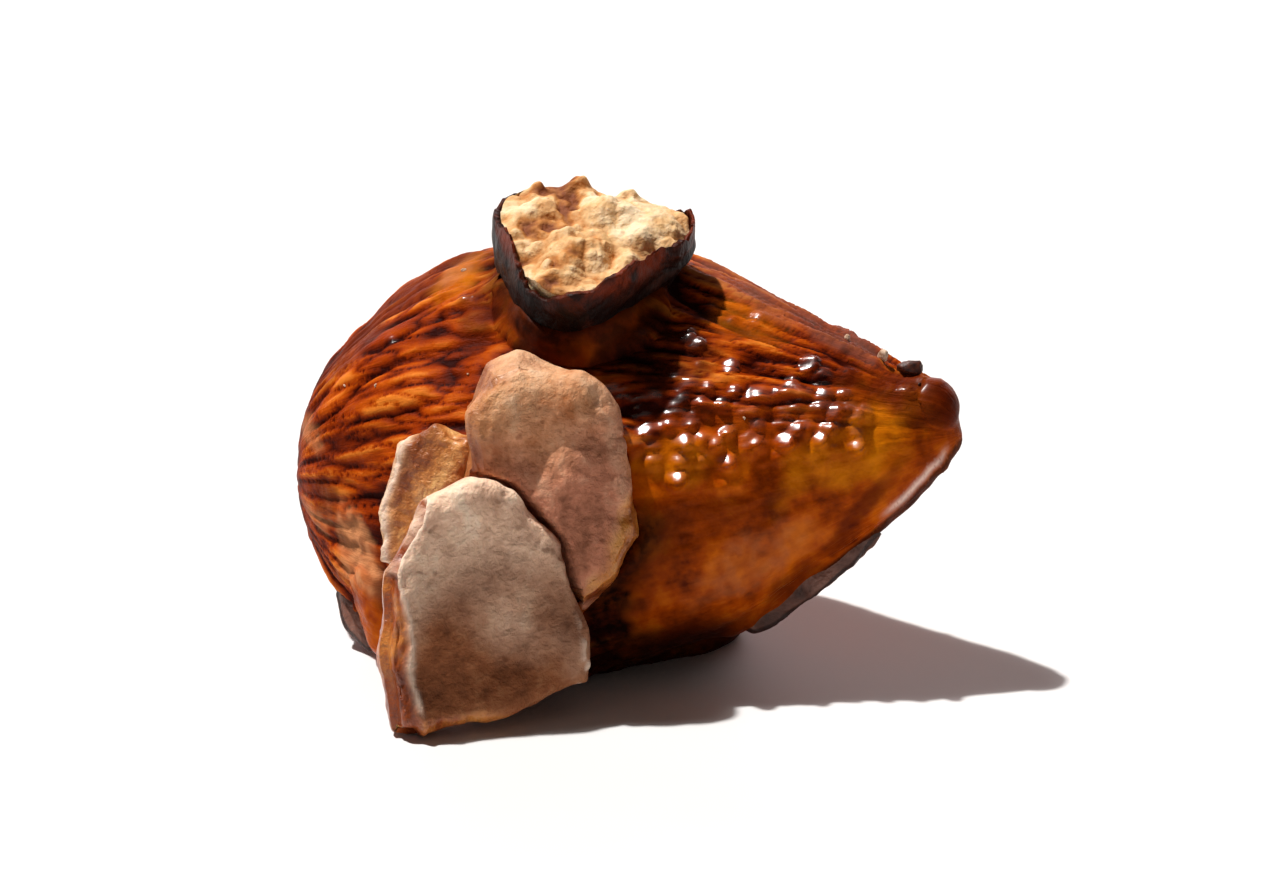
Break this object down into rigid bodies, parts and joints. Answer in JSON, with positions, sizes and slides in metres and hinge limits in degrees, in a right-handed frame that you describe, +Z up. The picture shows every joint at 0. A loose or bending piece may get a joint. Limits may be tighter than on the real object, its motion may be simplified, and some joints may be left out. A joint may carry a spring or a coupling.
{
  "type": "candied almond",
  "caption": "Whole almond in a glossy dark caramel coat, lying on its edge, with broken pieces of nut stuck to its top and front.",
  "frame": {"origin": "on the flat spot that the almond rests on, below its middle", "axes": "+Z up from the resting plane, +X along the almond towards its tip, -Y towards the side with the broken pieces"},
  "size_m": [0.0239, 0.0195, 0.0166],
  "materials": {
    "caramel_coat": "glossy set caramel over ridged brown skin",
    "nut_flesh": "matt broken nut, toasted",
    "nut_skin": "dark roasted skin with a slight sheen"
  },
  "bodies": {
    "root": {"candied_almond": "caramel_coat", "nut_slab": "nut_flesh", "nut_chunk": "nut_flesh", "nut_sliver": "nut_flesh", "nut_end": "nut_skin"}
  },
  "joints": []
}
